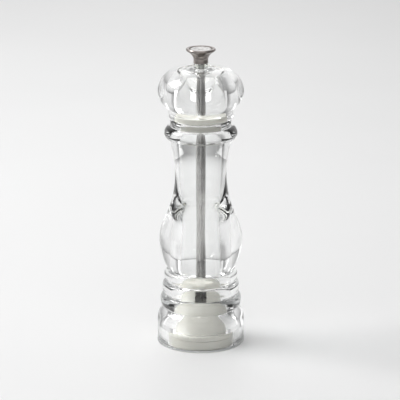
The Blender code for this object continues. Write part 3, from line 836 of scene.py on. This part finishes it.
def joined(name, pieces):
    """One object that holds several meshes."""
    shape = bmesh.new()
    for piece in pieces:
        shape.from_mesh(piece.data)
    obj = new_piece(name)
    shape.to_mesh(obj.data)
    shape.free()
    for piece in pieces:
        bpy.data.objects.remove(piece, do_unlink=True)
    return shaded(obj, math.radians(35))


# ---------------------------------------------------------------- operators: plastic and grinder
class MILL_OT_plug(bpy.types.Operator):
    """Finish the plug and the steel drive plate under it"""

    bl_idname = "mill.plug"
    bl_label = "Head plug and drive plate"

    def execute(self, context):
        colours = context.scene.mill_colours
        white = moulded_plastic("plug_plastic", colours.plastic, 0.38)
        plug = turned_again("moulded_plug", "head_plug", context.scene.mill_sizes.metal_sides, white)
        fit(plug, white, "head_plug", "head_plug")
        steel = turned_steel("plate_steel", colours.bright_steel, 0.3)
        plate = round_copy("square_hole_plate", "drive_plate")
        fit(plate, steel, "drive_plate", "drive_plate")
        return {"FINISHED"}


class MILL_OT_housing(bpy.types.Operator):
    """Finish the moulded housing and the ring that clamps the stator"""

    bl_idname = "mill.housing"
    bl_label = "Grinder housing"

    def execute(self, context):
        colours = context.scene.mill_colours
        for name, node in (("moulded_housing", "grinder_housing"), ("clamp_ring", "stator_clamp")):
            white = moulded_plastic(f"{name}_plastic", colours.plastic, 0.4)
            fit(round_copy(name, node), white, node, node)
        return {"FINISHED"}


class MILL_OT_grinder(bpy.types.Operator):
    """Finish the toothed ceramic ring, the turning cone and its core"""

    bl_idname = "mill.grinder"
    bl_label = "Stator and rotor"

    def execute(self, context):
        colours = context.scene.mill_colours
        for name, node, cuts in (("toothed_ring", "stator", 4), ("grinding_cone", "rotor", 2)):
            surface = fired_ceramic(f"{name}_ceramic", colours.ceramic)
            fit(round_copy(name, node, cuts), surface, node, node)
        core_colour = tuple(part * 0.9 for part in colours.plastic)
        grey = moulded_plastic("core_plastic", core_colour, 0.42)
        fit(round_copy("driving_core", "rotor_core"), grey, "rotor_core", "rotor_core")
        return {"FINISHED"}


class MILL_OT_spring(bpy.types.Operator):
    """Wind the spring and finish the washers at its ends and under the rotor"""

    bl_idname = "mill.spring"
    bl_label = "Spring and washers"

    def squeeze(self, coil, low, high):
        """Give the coil a mesh of its own."""
        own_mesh(coil)

    def execute(self, context):
        sizes = context.scene.mill_sizes
        colours = context.scene.mill_colours
        wire = drawn_steel("spring_steel", colours.shaft_steel, 0.22)
        low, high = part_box("spring")
        wire_radius = sizes.spring_wire
        coil = new_piece("wound_spring")
        run_tree(coil, coil_tree(), {
            "Turns": sizes.spring_turns, "Coil radius": high.x - wire_radius,
            "Foot": low.z + wire_radius, "Height": high.z - low.z - 2 * wire_radius,
            "Wire radius": wire_radius, "Wire sides": 12, "Ease": 0.8, "Material": wire})
        fit(shaded(coil, math.radians(60)), wire, "spring", "spring")
        self.squeeze(coil, low, high)
        for name, node, slot in (
            ("upper_washer", "spring_top_washer", "spring_washer"),
            ("lower_washer", "spring_foot_washer", "spring_washer"),
            ("end_washer", "rotor_washer", "rotor_washer"),
        ):
            steel = turned_steel(f"{name}_steel", colours.bright_steel, 0.25)
            washer = turned_again(name, node, sizes.metal_sides // 2, steel)
            fit(washer, steel, slot, node)
        return {"FINISHED"}


class MILL_OT_screws(bpy.types.Operator):
    """Set the slotted screws in their circles"""

    bl_idname = "mill.screws"
    bl_label = "Screws"

    def execute(self, context):
        steel = turned_steel("screw_steel", context.scene.mill_colours.bright_steel, 0.22, 0.0001)
        self.circle_of_screws("housing_screws", "housing_screw", 3, steel)
        self.circle_of_screws("plate_screws", "plate_screw", 2, steel)
        end_screw = round_copy("end_screw", "rotor_screw")
        fit(end_screw, steel, "rotor_screw", "rotor_screw")
        return {"FINISHED"}

    def circle_of_screws(self, name, stem, count, steel):
        """Copies of the first screw at the radius where the frame holds it."""
        nodes = [f"{stem}_{number}" for number in range(1, count + 1)]
        low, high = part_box(nodes[0])
        centre = (low + high) / 2
        screw = round_copy(name, nodes[0])
        screw.data.transform(Matrix.Translation((-centre.x, -centre.y, 0.0)))
        run_tree(screw, circle_copies_tree(), {
            "Count": count, "Circle radius": math.hypot(centre.x, centre.y),
            "Start angle": math.atan2(centre.y, centre.x), "Material": steel})
        fit(shaded(screw, CUT_EDGE), steel, stem, *nodes)


# ---------------------------------------------------------------- operator: stage
class MILL_OT_stage(bpy.types.Operator):
    """Lay the floor, hang the lights and set up the camera"""

    bl_idname = "mill.stage"
    bl_label = "Floor, lights and camera"

    def execute(self, context):
        stage = context.scene.mill_stage
        self.lay_floor(context)
        self.hang_lights(context, stage)
        self.set_sky(context, stage)
        self.set_camera(context, stage)
        context.scene.view_settings.view_transform = "Standard"
        context.scene.cycles.max_bounces = LIGHT_BOUNCES
        context.scene.cycles.transmission_bounces = LIGHT_BOUNCES
        context.scene.cycles.transparent_max_bounces = LIGHT_BOUNCES
        return {"FINISHED"}

    def lay_floor(self, context):
        level = CAD_BOUNDS[0][2]
        corners = [(side * FLOOR_REACH, end * FLOOR_REACH, level)
                   for side, end in ((-1, -1), (1, -1), (1, 1), (-1, 1))]
        floor = new_piece("floor", corners, (), [(0, 1, 2, 3)])
        floor.data.materials.append(floor_with_painted_shade("floor_and_painted_shade", context.scene.mill_colours.floor))

    def hang_lights(self, context, stage):
        """A long softbox overhead, the key high at the left, and a low strip at each side."""
        aim = Vector((0.0, 0.0, 0.1))
        lights = (
            ("overhead_softbox", (0.0, 0.9, 0.95), (0.0, 0.9, 0.0), 0.6, 3.4, stage.overhead_glow),
            ("key_softbox", (-1.50, 0.25, 1.45), aim, 1.0, 1.0, stage.key_glow),
            ("left_strip", (-1.00, 0.36, 0.48), (0.0, 0.0, 0.48), 0.36, 0.9, stage.strip_glow),
            ("right_strip", (1.00, 0.36, 0.48), (0.0, 0.0, 0.48), 0.25, 0.9, stage.strip_glow * 0.5),
        )
        for name, place, target, width, length, glow in lights:
            lamp = bpy.data.lights.new(name, "AREA")
            lamp.shape = "RECTANGLE"
            lamp.size = width
            lamp.size_y = length
            lamp.energy = glow * math.pi * width * length
            obj = bpy.data.objects.new(name, lamp)
            obj.location = place
            obj.rotation_euler = (Vector(target) - Vector(place)).to_track_quat("-Z", "Y").to_euler()
            context.scene.collection.objects.link(obj)

    def set_sky(self, context, stage):
        """Pale walls before and behind the mill, dark ones at its sides, and a dim ceiling."""
        world = bpy.data.worlds.new("studio")
        world.use_nodes = True
        nodes = world.node_tree.nodes
        links = world.node_tree.links
        place = nodes.new("ShaderNodeTexCoord")
        parts = nodes.new("ShaderNodeSeparateXYZ")
        links.new(place.outputs["Generated"], parts.inputs["Vector"])
        sideways = nodes.new("ShaderNodeMath")
        sideways.operation = "ABSOLUTE"
        links.new(parts.outputs["X"], sideways.inputs[0])
        glow = nodes.new("ShaderNodeMath")
        glow.operation = "MULTIPLY"
        for index, (source, stops) in enumerate((
            (parts.outputs["Z"], ((0.0, 0.86), (0.42, 0.76), (0.60, 0.34), (0.85, 0.24))),
            (sideways.outputs[0], ((0.0, 1.0), (0.60, 1.0), (0.88, 0.24), (1.0, 0.16))),
        )):
            ramp = nodes.new("ShaderNodeValToRGB")
            links.new(source, ramp.inputs["Fac"])
            while len(ramp.color_ramp.elements) < len(stops):
                ramp.color_ramp.elements.new(0.5)
            for element, (position, value) in zip(ramp.color_ramp.elements, stops):
                element.position = position
                element.color = (value, value, value, 1.0)
            links.new(ramp.outputs["Color"], glow.inputs[index])
        links.new(glow.outputs[0], nodes["Background"].inputs["Color"])
        nodes["Background"].inputs["Strength"].default_value = stage.sky_strength
        context.scene.world = world

    def set_camera(self, context, stage):
        place = Vector((-stage.camera_side, -stage.camera_distance, stage.camera_height))
        aim = Vector((-stage.camera_side, 0.0, stage.aim_height))
        data = bpy.data.cameras.new("camera")
        data.lens = stage.lens
        data.sensor_width = 36.0
        data.clip_end = 50.0
        camera = bpy.data.objects.new("camera", data)
        camera.location = place
        camera.rotation_euler = (aim - place).to_track_quat("-Z", "Y").to_euler()
        context.scene.collection.objects.link(camera)
        context.scene.camera = camera


# ---------------------------------------------------------------- panel and registration
PIECE_OPERATORS = (
    MILL_OT_body,
    MILL_OT_head,
    MILL_OT_glide_ring,
    MILL_OT_knob,
    MILL_OT_shaft,
    MILL_OT_plug,
    MILL_OT_housing,
    MILL_OT_grinder,
    MILL_OT_spring,
    MILL_OT_screws,
    MILL_OT_stage,
)


class MILL_PT_panel(bpy.types.Panel):
    """Lists the mill's pieces, sizes and colours"""

    bl_idname = "MILL_PT_panel"
    bl_label = "Pepper mill"
    bl_space_type = "VIEW_3D"
    bl_region_type = "UI"
    bl_category = "Mill"

    def draw(self, context):
        layout = self.layout
        for group in (context.scene.mill_sizes, context.scene.mill_colours, context.scene.mill_stage):
            box = layout.box()
            for label in group.bl_rna.properties.keys():
                if label not in ("rna_type", "name"):
                    box.prop(group, label)
        for operator in PIECE_OPERATORS:
            layout.operator(operator.bl_idname)


CLASSES = (MillSizes, MillColours, MillStage, *PIECE_OPERATORS, MILL_PT_panel)


def register():
    for cls in CLASSES:
        bpy.utils.register_class(cls)
    bpy.types.Scene.mill_sizes = bpy.props.PointerProperty(type=MillSizes)
    bpy.types.Scene.mill_colours = bpy.props.PointerProperty(type=MillColours)
    bpy.types.Scene.mill_stage = bpy.props.PointerProperty(type=MillStage)


def unregister():
    del bpy.types.Scene.mill_stage
    del bpy.types.Scene.mill_colours
    del bpy.types.Scene.mill_sizes
    for cls in reversed(CLASSES):
        bpy.utils.unregister_class(cls)


def main():
    register()
    for operator in PIECE_OPERATORS:
        category, name = operator.bl_idname.split(".")
        getattr(getattr(bpy.ops, category), name)()


if __name__ == "__main__":
    main()
